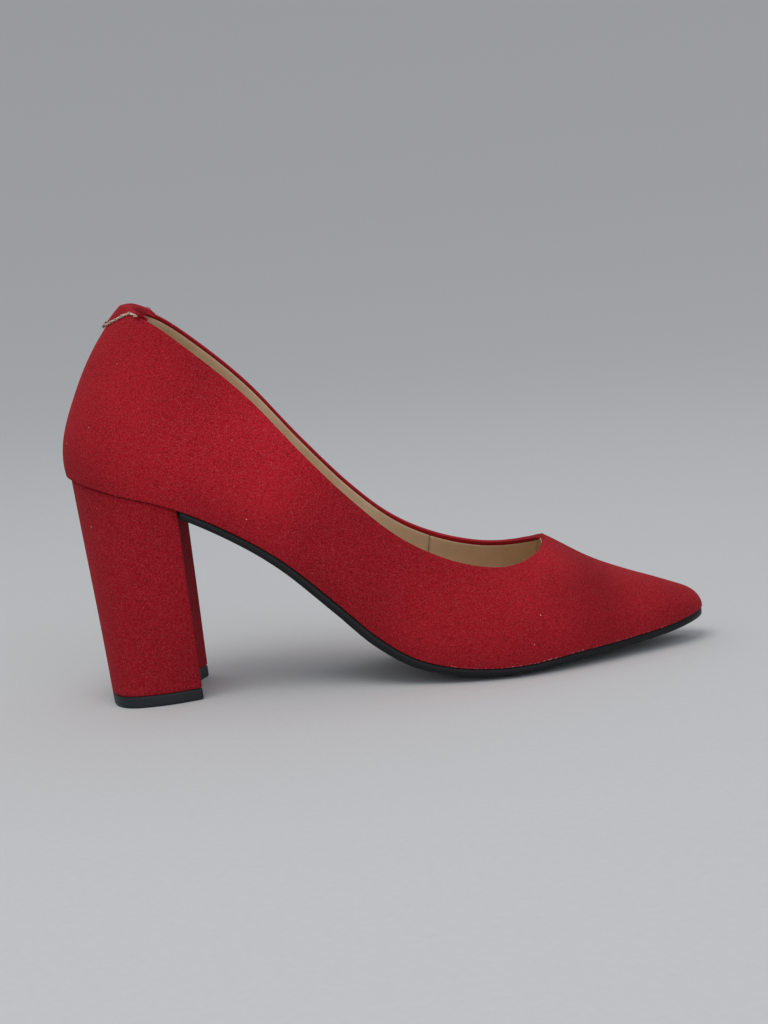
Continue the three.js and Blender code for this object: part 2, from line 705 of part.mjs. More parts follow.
addPart("upper", upper, suede);
addPart("back_tab", backTab(), suede);
addPart("interlining", interlining, textile);
addPart("topline_tape", toplineTape, textile);
addPart("toe_puff", toePuff, stiff);
addPart("heel_counter", heelCounter, stiff);
addPart("vamp_lining", vampLining, lining);
addPart("quarter_lining", quarterLining, lining);
addPart("heel_grip", heelGrip, lining);
addPart("sock_lining", sock, lining);
addPart("sock_foam", foam, softFoam);
addPart("heel_pad", heelPad, softFoam);
addPart("insole_board_back", boardBack, board);
addPart("insole_board_front", boardFront, board);
addPart("steel_shank", shank, steel);
addPart("bottom_filler", filler, cork);
addPart("outsole", outsole(), blackSole);
addPart("heel_block", heelBlock, plastic);
addPart("heel_cover", heelCover, suede);
addPart("top_piece", topPiece, rubber);
rivetPlaces.forEach((x, i) => {
  addPart(["shank_rivet_rear", "shank_rivet_front"][i], squareToBottom(rivetProfile, x, rivetY(x)), brass);
});
nailPlaces.forEach(([x, y], i) => addPart("heel_nail_" + (i + 1), squareToBottom(nailProfile, x, y), steel));
addPart("heel_screw", squareToBottom(screwProfile, SEAT_X, 0), steel);
pinPlaces.forEach((x, i) => addPart("top_piece_pin_" + (i + 1), upright(1.5, 1.5, 16, x), steel));

// The frame's origin lies under the middle of the shoe, on the floor.
const box = new THREE.Box3().setFromObject(shoe);
const middle = box.getCenter(new THREE.Vector3());
shoe.position.set(-middle.x, -middle.y, -box.min.z);

export default shoe;
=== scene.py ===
# Red suede block-heel pump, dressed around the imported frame. All shape code works in millimetres.
import math
import random

import bmesh
import bpy
import numpy as np
from mathutils import Matrix, Vector, noise


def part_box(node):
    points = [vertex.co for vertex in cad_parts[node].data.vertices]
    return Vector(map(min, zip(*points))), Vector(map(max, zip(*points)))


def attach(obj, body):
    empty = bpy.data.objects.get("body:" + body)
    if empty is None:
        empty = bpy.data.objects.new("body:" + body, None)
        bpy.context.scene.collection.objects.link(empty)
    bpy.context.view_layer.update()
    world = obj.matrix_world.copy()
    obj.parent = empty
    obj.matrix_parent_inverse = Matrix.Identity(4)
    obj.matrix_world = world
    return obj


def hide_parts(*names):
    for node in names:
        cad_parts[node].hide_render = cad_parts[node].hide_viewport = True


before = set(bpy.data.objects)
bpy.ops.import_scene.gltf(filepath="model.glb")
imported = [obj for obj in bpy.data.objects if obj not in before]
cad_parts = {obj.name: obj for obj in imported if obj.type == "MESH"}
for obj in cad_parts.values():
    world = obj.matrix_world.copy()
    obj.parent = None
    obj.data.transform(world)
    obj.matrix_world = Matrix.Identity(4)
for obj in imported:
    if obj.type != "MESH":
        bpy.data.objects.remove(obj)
noise.seed_set(5)  # the same unevenness of the suede on every run
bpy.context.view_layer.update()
tipLow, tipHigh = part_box("top_piece")
# The foot's own axes start at the back of the seat; the frame's start under the shoe's middle.
shift = np.array([tipLow.x * 1000 - 9.8, (tipLow.y + tipHigh.y) * 500, 0.0])
print("stage: frame loaded")

# The foot shape: sizes and curves along the foot, as the shoe's last gives them.
last = {
    "toeX": 239.0, "seatX": 28.0, "seatHalfWidth": 26.0, "seatHalfLength": 26.8, "nose": 22.0,
    "backReach": 33.8, "backFullest": 28.0, "backCrown": 76.0, "undercut": 2.6, "edgeSlope": 0.2,
}


def curve(*knots):  # smooth curve through [x, value] knots
    x = np.array([k[0] for k in knots], float)
    y = np.array([k[1] for k in knots], float)
    h = np.diff(x)
    d = np.diff(y) / h
    m = np.empty_like(y)
    m[0], m[-1] = d[0], d[-1]
    m[1:-1] = (d[:-1] * h[1:] + d[1:] * h[:-1]) / (h[:-1] + h[1:])

    def value(at):
        at = np.asarray(at, float)
        i = np.clip(np.searchsorted(x, at, side="right") - 1, 0, len(h) - 1)
        s = (at - x[i]) / h[i]
        inside = ((2 * s**3 - 3 * s**2 + 1) * y[i] + (s**3 - 2 * s**2 + s) * h[i] * m[i]
                  + (3 * s**2 - 2 * s**3) * y[i + 1] + (s**3 - s**2) * h[i] * m[i + 1])
        before = y[0] + m[0] * (at - x[0])
        after = y[-1] + m[-1] * (at - x[-1])
        return np.where(at < x[0], before, np.where(at > x[-1], after, inside))

    return value


bottom = curve(
    (0, 87.3), (20, 80.5), (42, 73), (60, 63.4), (80, 49.4), (98, 32.4), (112, 18.8),
    (124, 10.7), (138, 6.4), (155, 4.6), (168, 4.6), (185, 6), (205, 7), (222, 8.5), (239, 11.6))
outerSide = curve(
    (28, 26), (45, 26), (70, 24.5), (95, 26.5), (120, 32.5), (145, 37.5), (160, 38),
    (178, 33.5), (195, 26), (212, 17), (228, 9), (239, 5))
innerSide = curve(
    (28, 26), (45, 24.5), (70, 20.5), (95, 19.5), (120, 25.5), (145, 33), (162, 35.5),
    (180, 33), (198, 27.5), (214, 21), (228, 15), (239, 12))
ridgeY = curve((28, 0), (90, 0), (120, 1.5), (178, 4), (220, 6.5), (239, 7.5))
lean = curve((28, 0.45), (60, 0.42), (90, 0.36), (120, 0.22), (150, 0.08), (175, 0), (239, 0))
bulge = curve((28, 3.3), (60, 3), (95, 2.6), (130, 3), (165, 2.8), (200, 2.2), (239, 1.2))
fullest = curve((28, 22), (60, 18), (95, 15), (130, 13), (165, 11), (200, 8), (239, 4))
crown = curve(
    (28, 80), (60, 79), (90, 76), (120, 68), (150, 55), (178, 41.4), (198, 28), (218, 17.9),
    (230, 12.5), (239, 10.4))
roundness = curve((28, 2.3), (90, 2.2), (150, 1.9), (178, 1.75), (205, 1.9), (239, 2))
topline = curve(
    (22, 148), (30, 146.9), (40, 141.6), (54, 130), (72, 112.2), (90, 89.8), (107, 70.2),
    (122, 56.2), (138, 46.7), (150, 42.4), (160, 40.6), (168, 40.8), (173, 42), (177.4, 43.9),
    (179.6, 46), (181, 49.6))
soleRim = curve((40, 2.5), (110, 3.2), (140, 2.9), (160, 2.5), (200, 2.5), (239, 2.7))
soleMiddle = curve((40, 2.5), (110, 3.2), (140, 4), (156, 5), (178, 5), (200, 3.6), (239, 2.8))


def slopeOf(f, x):
    return float(f(x + 0.5) - f(x - 0.5))


def steepness(x):
    return math.hypot(1, slopeOf(bottom, x))


def mix(a, b, t):
    return a + (b - a) * t


def clamp(v, low=0.0, high=1.0):
    return max(low, min(high, v))


def edgeDrop(depth):
    return last["edgeSlope"] * max(0.0, depth)


throats = {}


def throatX(depth):
    key = round(depth, 4)
    if key not in throats:
        low, high = 165.0, 182.0
        for _ in range(40):
            mid = (low + high) / 2
            if bottom(mid) + crown(mid) - depth > topline(mid) - edgeDrop(depth):
                low = mid
            else:
                high = mid
        throats[key] = low
    return throats[key]


def alongX(u, depth):
    throat = throatX(depth)
    if u <= 1:
        return last["seatX"] + (throat - last["seatX"]) * (1 - (1 - u) ** 1.8)
    return throat + (last["toeX"] - depth - throat) * math.sin((u - 1) * math.pi / 2)


def noseShare(x, tip):
    s = clamp((x - (tip - last["nose"])) / last["nose"])
    return math.sqrt(max(0.0, 1 - s**3.2))


def sectionAt(u, side, depth):  # side is -1 on the outer side of the foot
    if u < 0:
        angle = -u * math.pi / 2
        back = math.sin(angle) ** 2
        reach = 1 / math.hypot(math.sin(angle) / last["seatHalfLength"],
                               math.cos(angle) / last["seatHalfWidth"])
        seat = last["seatX"]
        return {
            "origin": (seat, 0.0), "direction": (-math.sin(angle), side * math.cos(angle)),
            "footX": seat - (reach - depth) * math.sin(angle), "foot": reach - depth,
            "full": mix(last["seatHalfWidth"] + float(bulge(seat)), last["backReach"], back) - depth,
            "fullest": mix(float(fullest(seat)), last["backFullest"], back),
            "crown": mix(float(crown(seat)), last["backCrown"], back) - depth,
            "lean": float(lean(seat)), "roundness": float(roundness(seat)),
        }
    x = alongX(u, depth)
    k = noseShare(x, last["toeX"] - depth)
    ridge = float(ridgeY(x))
    half = float(outerSide(x)) + ridge if side < 0 else float(innerSide(x)) - ridge
    return {
        "origin": (x, ridge), "direction": (0.0, side), "footX": x, "foot": (half - depth) * k,
        "full": (half + float(bulge(x)) - depth) * k, "fullest": float(fullest(x)) * k,
        "crown": (float(crown(x)) - depth) * k, "lean": float(lean(x)), "roundness": float(roundness(x)),
    }


def sectionPoints(u, side, depth, lift):
    s = sectionAt(u, side, depth)
    ground = float(bottom(s["footX"]))
    start = lift * steepness(s["footX"]) / (1 - slopeOf(bottom, s["footX"]) * s["lean"])
    if start >= s["crown"] - 1e-9:
        reach, height = np.zeros(2), np.full(2, start)
    else:
        reach, height = [], []
        if start < s["fullest"]:
            h = np.linspace(start, s["fullest"], 25)[:-1]
            reach.append(s["full"] - (s["full"] - s["foot"]) * (1 - h / s["fullest"]) ** last["undercut"])
            height.append(h)
        e = 2 / s["roundness"]
        arch = s["crown"] - s["fullest"]
        first = math.asin(clamp((start - s["fullest"]) / arch) ** (1 / e))
        a = np.linspace(first, math.pi / 2, 100)
        r = s["full"] * np.clip(np.cos(a), 0, 1) ** e
        r[-1] = 0
        reach.append(r)
        height.append(s["fullest"] + arch * np.sin(a) ** e)
        reach, height = np.concatenate(reach), np.concatenate(height)
    return np.stack([
        s["origin"][0] + s["direction"][0] * reach + s["lean"] * height,
        s["origin"][1] + s["direction"][1] * reach,
        ground + height], axis=1)


def cutAtTopline(points, u, side, drop):
    if u >= 1:
        return points
    raised = clamp((1 - u) * 4) * clamp((u + 1) * 4) if side > 0 else 0.0
    over = points[:, 2] - (topline(points[:, 0]) + raised - drop)
    hit = np.flatnonzero(over > 0)
    if not len(hit) or hit[0] < 1:
        return points
    i = hit[0]
    t = over[i - 1] / (over[i - 1] - over[i])
    return np.vstack([points[:i], mix(points[i - 1], points[i], t)])


def alongLine(points, shares):
    lengths = np.concatenate([[0], np.cumsum(np.linalg.norm(np.diff(points, axis=0), axis=1))])
    at = np.asarray(shares) * lengths[-1]
    return np.stack([np.interp(at, lengths, points[:, k]) for k in range(3)], axis=1)


def wallRows(u, side, depth, lift, shares, drop=0.0):
    section = sectionPoints(u, side, depth, lift)
    return alongLine(cutAtTopline(section, u, side, edgeDrop(depth) + drop), shares)


def wallPoint(u, side, depth, drop):
    return cutAtTopline(sectionPoints(u, side, depth, 0), u, side, edgeDrop(depth) + drop)[-1]


def offBottom(x, y, d):
    s = slopeOf(bottom, x)
    k = steepness(x)
    return np.array([x - s / k * d, y, float(bottom(x)) + d / k])


def sideLimits(x, inset, tip):
    if x < last["seatX"]:
        s = clamp((last["seatX"] - x) / (last["seatHalfLength"] - inset))
        half = (last["seatHalfWidth"] - inset) * math.sqrt(max(0.0, 1 - s * s))
        return -half, half
    k = noseShare(x, tip)
    ridge = float(ridgeY(x))
    outer, inner = float(outerSide(x)) + ridge - inset, float(innerSide(x)) - ridge - inset
    return ridge - outer * k, ridge + inner * k


class Builder:  # collects welded corners and tagged faces
    def __init__(self):
        self.points, self.index, self.faces, self.tags, self.marked = [], {}, [], [], set()

    def corner(self, p):
        key = tuple(int(round(v * 5000)) for v in p)
        if key not in self.index:
            self.index[key] = len(self.points)
            self.points.append([float(v) for v in p])
        return self.index[key]

    def face(self, corners, tag=0):
        ids = [self.corner(p) for p in corners]
        kept = [v for k, v in enumerate(ids) if v != ids[k - 1]]
        if len(set(kept)) == len(kept) and len(kept) > 2:
            self.faces.append(kept)
            self.tags.append(tag)

    # Quads round successive rings. rim gives the tag of the quad after corner j, or None for no quad.
    def loft(self, rings, closedRing=True, rim=lambda i, j: 0, capStart=False, capEnd=False):
        size = len(rings[0])
        for i in range(len(rings) - 1):
            for j in range(size if closedRing else size - 1):
                tag = rim(i, j)
                k = (j + 1) % size
                if tag is not None:
                    self.face([rings[i][j], rings[i][k], rings[i + 1][k], rings[i + 1][j]], tag)
        for ring, wanted, flip in ((rings[0], capStart, False), (rings[-1], capEnd, True)):
            if not wanted:
                continue
            for j in range(size // 2 - 1):
                quad = [ring[j], ring[size - 1 - j], ring[size - 2 - j], ring[j + 1]]
                self.face(quad[::-1] if flip else quad)

    def mark(self, p):  # a corner that lies on the feather line
        self.marked.add(self.corner(p))

    def build(self, name, bevel=0.0, segments=3, wobble=0.0):
        mesh = bpy.data.meshes.new(name)
        points = np.array(self.points)
        if wobble:  # hand-lasted unevenness, about 30 mm from hollow to hollow
            for p in points:
                push = noise.noise_vector(Vector(p) / 30.0)
                p += wobble * np.array(push)
        mesh.from_pydata((points + shift) / 1000, [], self.faces)
        mesh.update()
        if self.marked:
            line = mesh.attributes.new("featherLine", "FLOAT", "POINT")
            for k in self.marked:
                line.data[k].value = 1.0
        bm = bmesh.new()
        bm.from_mesh(mesh)
        bmesh.ops.recalc_face_normals(bm, faces=bm.faces)
        bm.faces.ensure_lookup_table()
        if bevel:
            edges = [e for e in bm.edges if len(e.link_faces) == 2
                     and self.tags[e.link_faces[0].index] != self.tags[e.link_faces[1].index]]
            bmesh.ops.bevel(bm, geom=edges, offset=bevel / 1000, segments=segments, affect="EDGES",
                            profile=0.5, clamp_overlap=True)
        for f in bm.faces:
            f.smooth = True
        bm.to_mesh(mesh)
        bm.free()
        piece = bpy.data.objects.new(name, mesh)
        bpy.context.scene.collection.objects.link(piece)
        return piece


# Places of the rings: -1 is the back seam, 0 the seat's widest, 1 the throat and 2 the toe.
def shellPlaces(start, end, side=90, toe=60):
    us = np.concatenate([np.linspace(-1, 0, 37), np.linspace(0, 1, side + 1)[1:],
                         1 + np.linspace(0, 1, toe + 1)[1:]])
    middle = [float(u) for u in us if start + 1e-4 < u < end - 1e-4]
    return [start, *middle, end]


# Joins the rings of both sides of the foot. rims are the corners whose quads form the free edge,
# which is left out in front of the throat.
def joinSides(builder, ringAt, us, rims):
    outer = [ringAt(u, -1) for u in us][::-1]
    inner = [ringAt(u, 1) for u in us]

    def rimOf(order):
        def rim(i, j):
            if j not in rims:
                return 0
            return None if order[i] >= 1 and order[i + 1] >= 1 else 1
        return rim

    if us[0] <= -1:
        builder.loft(outer + inner[1:], rim=rimOf(us[::-1] + us[1:]), capStart=us[-1] < 2, capEnd=us[-1] < 2)
    else:
        builder.loft(outer, rim=rimOf(us[::-1]), capEnd=True)
        builder.loft(inner, rim=rimOf(us), capStart=True)


def finishPiece(piece, nodes, material):
    piece.data.materials.append(material)
    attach(piece, "root")
    if nodes:
        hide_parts(*nodes)


def linear(hexColour):  # sRGB hex to the linear values that shaders use
    rgb = [int(hexColour[i:i + 2], 16) / 255 for i in (1, 3, 5)]
    return [c / 12.92 if c <= 0.04045 else ((c + 0.055) / 1.055) ** 2.4 for c in rgb] + [1.0]


# Adds a node, sets its properties and colour stops, and sets or links its inputs. An input is given by
# its name, with underscores for spaces, or by i and its number.
def add(tree, kind, settings=None, **inputs):
    node = tree.nodes.new(kind)
    for key, value in (settings or {}).items():
        if key != "stops":
            setattr(node, key, value)
            continue
        elements = node.color_ramp.elements
        while len(elements) < len(value):
            elements.new(0.5)
        for element, (at, colour) in zip(elements, value):
            element.position = at
            element.color = linear(colour) if isinstance(colour, str) else [colour] * 3 + [1]
    for key, value in inputs.items():
        numbered = key[0] == "i" and key[1:].isdigit()
        socket = node.inputs[int(key[1:]) if numbered else key.replace("_", " ")]
        if isinstance(value, bpy.types.NodeSocket):
            tree.links.new(value, socket)
        else:
            socket.default_value = value
    return node


def newMaterial(name, **shader):
    material = bpy.data.materials.new(name)
    material.use_nodes = True
    tree = material.node_tree
    tree.nodes.clear()
    surface = add(tree, "ShaderNodeBsdfPrincipled", **shader)
    add(tree, "ShaderNodeOutputMaterial", Surface=surface.outputs[0])
    place = add(tree, "ShaderNodeTexCoord").outputs["Object"]
    return material, tree, surface, place


def perMm(mm):  # scale of a noise or cell pattern of that size
    return 1000 / mm


def bandsPerMm(mm):  # scale of a wave pattern whose bands lie that far apart
    return 100 * math.pi / mm


# Suede: a napped split whose short fibres lie in brushed patches. The eye sees an even deep red with
# a fine pebbly grain, broad soft light and dark areas, and hardly any gloss. The broad areas are partly
# random tone patches and partly painted light and shade, set where light falls more or less. Painted
# shade sits in the dips of the grain, and painted glints sit on the fibre ends. A few pale specks of lint
# sit in the pile. Real fibres are far finer than these, which are drawn coarse enough to show.
suedeLook = {
    "colour": "#AC1423", "dark": "#A11220", "light": "#B51826", "paintedGlint": "#D97E82", "lint": "#E7C3BE",
    "sheen": "#FF9A9C", "patchMm": 55, "mottleMm": 6, "grainMm": 0.8, "fibreMm": 0.4, "lintMm": 9,
    "crumbMm": 0.9, "bumpMm": 0.17,
}
# Painted light and shade on the suede: soft lighter and darker areas, set where light falls more or less.
# Each gives its centre from the back of the seat, its reach, and its gain in brightness.
paintedLightAreas = [
    ((74, -26, 90), 50, 0.42), ((38, -30, 100), 40, 0.24), ((58, -26, 62), 24, -0.14),
    ((192, -18, 22), 28, -0.36), ((181, -14, 40), 20, 0.26), ((8, -20, 92), 24, -0.10),
    ((226, -6, 16), 24, -0.16),
]


# Sums the painted light and shade areas into one brightness factor.
def paintedLightGain(tree, place, areas):
    total = 1.0
    for centre, reach, gain in areas:
        middle = [(a + b) / 1000 for a, b in zip(centre, shift)]
        far = add(tree, "ShaderNodeVectorMath", {"operation": "DISTANCE"}, i0=place, i1=middle)
        part = add(tree, "ShaderNodeMapRange", {"interpolation_type": "SMOOTHSTEP"},
                   i0=far.outputs["Value"], i1=0.0, i2=reach / 1000, i3=gain, i4=0.0).outputs[0]
        total = add(tree, "ShaderNodeMath", {"operation": "ADD"}, i0=part, i1=total).outputs[0]
    return total


def suede(name, look, areas=(), cementMarks=False):
    material, tree, surface, place = newMaterial(
        name, Roughness=0.92, IOR=1.45, Specular_IOR_Level=0.14, Sheen_Weight=0.06, Sheen_Roughness=0.5,
        Sheen_Tint=linear(look["sheen"]))
    patch, mottle, grain, fibre = [
        add(tree, "ShaderNodeTexNoise", Vector=place, Scale=perMm(look[size]), Detail=detail,
            Roughness=rough).outputs["Fac"]
        for size, detail, rough in (
            ("patchMm", 2.0, 0.5), ("mottleMm", 4.0, 0.6), ("grainMm", 2.0, 0.6), ("fibreMm", 2.0, 0.7))
    ]
    tones = [(0.35, look["dark"]), (0.5, look["colour"]), (0.65, look["light"])]
    tone = add(tree, "ShaderNodeValToRGB", {"stops": tones}, Fac=patch).outputs[0]
    # mottling darkens the colour at random; the grain darkens it in the dips of its bump, which is painted
    # shade
    for pattern, stops in ((mottle, [(0.3, 0.94), (0.7, 1.0)]),
                           (grain, [(0.34, 0.7), (0.5, 0.95), (0.7, 1.0)])):
        shade = add(tree, "ShaderNodeValToRGB", {"stops": stops}, Fac=pattern).outputs[0]
        tone = add(tree, "ShaderNodeMix", {"data_type": "RGBA", "blend_type": "MULTIPLY"}, i0=1.0,
                   i6=tone, i7=shade).outputs[2]
    # painted glints: where fibre ends would catch the light, the colour is mixed towards a paler pink
    ends = add(tree, "ShaderNodeMapRange", i0=fibre, i1=0.5, i2=0.8, i3=0.0, i4=0.32).outputs[0]
    cell = add(tree, "ShaderNodeTexVoronoi", Vector=place, Scale=perMm(look["lintMm"])).outputs["Distance"]
    specks = add(tree, "ShaderNodeMapRange", i0=cell, i1=0.02, i2=0.035, i3=0.8, i4=0.0).outputs[0]
    layers = [(ends, look["paintedGlint"]), (specks, look["lint"])]
    if cementMarks:  # pale crumbs of dried cement where the sole was pressed on
        line = add(tree, "ShaderNodeAttribute", {"attribute_name": "featherLine"}).outputs["Fac"]
        near = add(tree, "ShaderNodeMapRange", i0=line, i1=0.55, i2=0.95, i3=0.0, i4=1.0).outputs[0]
        crumb = add(tree, "ShaderNodeTexNoise", Vector=place, Scale=perMm(look["crumbMm"]), Detail=3.0,
                    Roughness=0.7).outputs["Fac"]
        crumbs = add(tree, "ShaderNodeMapRange", i0=crumb, i1=0.56, i2=0.66, i3=0.0, i4=0.75).outputs[0]
        here = add(tree, "ShaderNodeMath", {"operation": "MULTIPLY"}, i0=near, i1=crumbs).outputs[0]
        layers.append((here, look["lint"]))
    for share, colour in layers:
        tone = add(tree, "ShaderNodeMix", {"data_type": "RGBA"}, i0=share, i6=tone,
                   i7=linear(colour)).outputs[2]
    # painted light and shade: the colour is scaled up or down round each listed centre
    if areas:
        gain = paintedLightGain(tree, place, areas)
        tone = add(tree, "ShaderNodeVectorMath", {"operation": "SCALE"}, Vector=tone, Scale=gain).outputs[0]
    tree.links.new(tone, surface.inputs["Base Color"])
    height = add(tree, "ShaderNodeMath", {"operation": "MULTIPLY_ADD"}, i0=fibre, i1=0.4, i2=grain)
    bump = add(tree, "ShaderNodeBump", Height=height.outputs[0], Strength=1.0, Distance=look["bumpMm"] / 1000)
    tree.links.new(bump.outputs[0], surface.inputs["Normal"])
    return material


# A smooth coated or moulded surface with fine grain: two tones, a grain bump and slight gloss changes.
def grained(name, colour, dark, roughness, grainMm, bumpMm, cloudMm=18, gloss=0.5):
    material, tree, surface, place = newMaterial(name, IOR=1.5, Specular_IOR_Level=gloss)
    cloud = add(tree, "ShaderNodeTexNoise", Vector=place, Scale=perMm(cloudMm), Detail=4.0,
                Roughness=0.6).outputs["Fac"]
    grain = add(tree, "ShaderNodeTexVoronoi", {"feature": "SMOOTH_F1"}, Vector=place,
                Scale=perMm(grainMm)).outputs["Distance"]
    tone = add(tree, "ShaderNodeValToRGB", {"stops": [(0.3, dark), (0.7, colour)]}, Fac=cloud)
    tree.links.new(tone.outputs[0], surface.inputs["Base Color"])
    rough = add(tree, "ShaderNodeMapRange", i0=cloud, i1=0.3, i2=0.7, i3=roughness - 0.06,
                i4=roughness + 0.06)
    tree.links.new(rough.outputs[0], surface.inputs["Roughness"])
    bump = add(tree, "ShaderNodeBump", Height=grain, Strength=0.6, Distance=bumpMm / 1000)
    tree.links.new(bump.outputs[0], surface.inputs["Normal"])
    return material


# Woven or knitted backing: crossed threads, drawn about twice as coarse as real ones so that they show.
# The darker colour lies where the threads dip: painted shade in the hollows between them.
def woven(name, colour, dark, threadMm):
    material, tree, surface, place = newMaterial(name, Roughness=0.9, IOR=1.45)
    waves = [add(tree, "ShaderNodeTexWave", {"bands_direction": axis}, Vector=place,
                 Scale=bandsPerMm(threadMm), Distortion=0.6, Detail=2.0).outputs["Fac"]
             for axis in ("X", "Y", "Z")]
    both = add(tree, "ShaderNodeMath", {"operation": "MULTIPLY"}, i0=waves[0], i1=waves[1]).outputs[0]
    weave = add(tree, "ShaderNodeMath", {"operation": "MAXIMUM"}, i0=both, i1=waves[2]).outputs[0]
    tone = add(tree, "ShaderNodeValToRGB", {"stops": [(0.1, dark), (0.8, colour)]}, Fac=weave)
    tree.links.new(tone.outputs[0], surface.inputs["Base Color"])
    bump = add(tree, "ShaderNodeBump", Height=weave, Strength=0.6, Distance=0.0002)
    tree.links.new(bump.outputs[0], surface.inputs["Normal"])
    return material


# Foam, cork, felt and fibre board: matt, speckled, open surfaces.
def speckled(name, colour, dark, speckMm, bumpMm=0.2):
    material, tree, surface, place = newMaterial(name, Roughness=0.92, IOR=1.45)
    speck = add(tree, "ShaderNodeTexVoronoi", Vector=place, Scale=perMm(speckMm)).outputs["Color"]
    grey = add(tree, "ShaderNodeRGBToBW", Color=speck).outputs[0]
    tone = add(tree, "ShaderNodeValToRGB", {"stops": [(0.2, dark), (0.8, colour)]}, Fac=grey)
    tree.links.new(tone.outputs[0], surface.inputs["Base Color"])
    bump = add(tree, "ShaderNodeBump", Height=grey, Strength=0.5, Distance=bumpMm / 1000)
    tree.links.new(bump.outputs[0], surface.inputs["Normal"])
    return material


# Steel and brass: drawn or stamped, so fine scratches run along the part. They are drawn coarser than
# real ones so that they show.
def scratched(name, colour, dark, roughness):
    material, tree, surface, place = newMaterial(name, Metallic=1.0)
    line = add(tree, "ShaderNodeMapping", Vector=place, Scale=(0.15, 1, 1))
    fine = add(tree, "ShaderNodeTexNoise", Vector=line.outputs[0], Scale=perMm(0.4),
               Detail=4.0).outputs["Fac"]
    tone = add(tree, "ShaderNodeValToRGB", {"stops": [(0.3, dark), (0.7, colour)]}, Fac=fine)
    tree.links.new(tone.outputs[0], surface.inputs["Base Color"])
    rough = add(tree, "ShaderNodeMapRange", i0=fine, i1=0.3, i2=0.7, i3=roughness - 0.08, i4=roughness + 0.1)
    tree.links.new(rough.outputs[0], surface.inputs["Roughness"])
    bump = add(tree, "ShaderNodeBump", Height=fine, Strength=0.3, Distance=0.00003)
    tree.links.new(bump.outputs[0], surface.inputs["Normal"])
    return material


suedeRed = suede("redSuede", suedeLook, paintedLightAreas, cementMarks=True)
suedeTab = suede("redSuedeTab", {**suedeLook, "patchMm": 12, "mottleMm": 4})
# The heel cover's suede is a darker copy of the upper's: painted shade, so that the heel's side looks darker
# than the quarter.
suedeHeelShaded = suede("redSuedeHeelShaded", {**suedeLook, "colour": "#A61222", "dark": "#9E1120", "light": "#AC1424"})
# Pigskin-grain PU lining: soft pores about 1.5 mm apart and a low satin sheen.
liningCoat = grained("beigeLining", "#D9BE9F", "#C7A883", 0.52, 1.5, 0.08)
sockCoat = grained("beigeSock", "#DCC3A6", "#CDB08D", 0.48, 1.3, 0.07, cloudMm=35)
# Moulded TPR sole: satin black, with a fine moulded grain that softens its gloss.
soleRubber = grained("blackMouldedSole", "#111317", "#0C0E11", 0.46, 0.9, 0.05, cloudMm=25, gloss=0.3)


def addTread(material, pitchMm, depthMm):  # moulded ribs, only where the surface faces the ground
    tree = material.node_tree
    surface = next(n for n in tree.nodes if n.type == "BSDF_PRINCIPLED")
    grainBump = surface.inputs["Normal"].links[0].from_node
    place = next(n for n in tree.nodes if n.type == "TEX_COORD").outputs["Object"]
    # bands across the sum of the axes lie closer by the square root of two on a level face
    ribs = add(tree, "ShaderNodeTexWave", {"bands_direction": "DIAGONAL"}, Vector=place,
               Scale=bandsPerMm(pitchMm) * math.sqrt(2)).outputs["Fac"]
    facing = add(tree, "ShaderNodeSeparateXYZ", Vector=add(tree, "ShaderNodeNewGeometry").outputs["Normal"])
    below = add(tree, "ShaderNodeMapRange", i0=facing.outputs["Z"], i1=-0.8, i2=-0.6, i3=1.0,
                i4=0.0).outputs[0]
    height = add(tree, "ShaderNodeMath", {"operation": "MULTIPLY"}, i0=ribs, i1=below).outputs[0]
    tread = add(tree, "ShaderNodeBump", Height=height, Strength=1.0, Distance=depthMm / 1000,
                Normal=grainBump.outputs[0])
    tree.links.new(tread.outputs[0], surface.inputs["Normal"])


addTread(soleRubber, 6.7, 0.5)
# Pressed rubber heel tip: duller and a little greyer than the sole.
tipRubber = grained("blackRubberTip", "#171C22", "#12161B", 0.58, 0.6, 0.05, cloudMm=9)
# Cotton backing of the split: pale twisted threads, with brown painted shade between them.
threadBeige = woven("beigeBacking", "#E9DCC8", "#9C8068", 0.99)
print("stage: materials made")

# Upper: one suede shell, its topline edge turned in and its lasting margin turned under.
upperLook = {
    "rows": 44, "insideRows": 12, "thickness": 1.0, "foldedEdge": 2.32, "foldHeight": 2.2, "margin": 12,
    "leastReach": 0.45, "edgeRound": 0.6, "wobble": 0.16, "seamGroove": 0.45, "seamRings": (-0.994, -0.985),
    "cementFrom": 0.5,
}


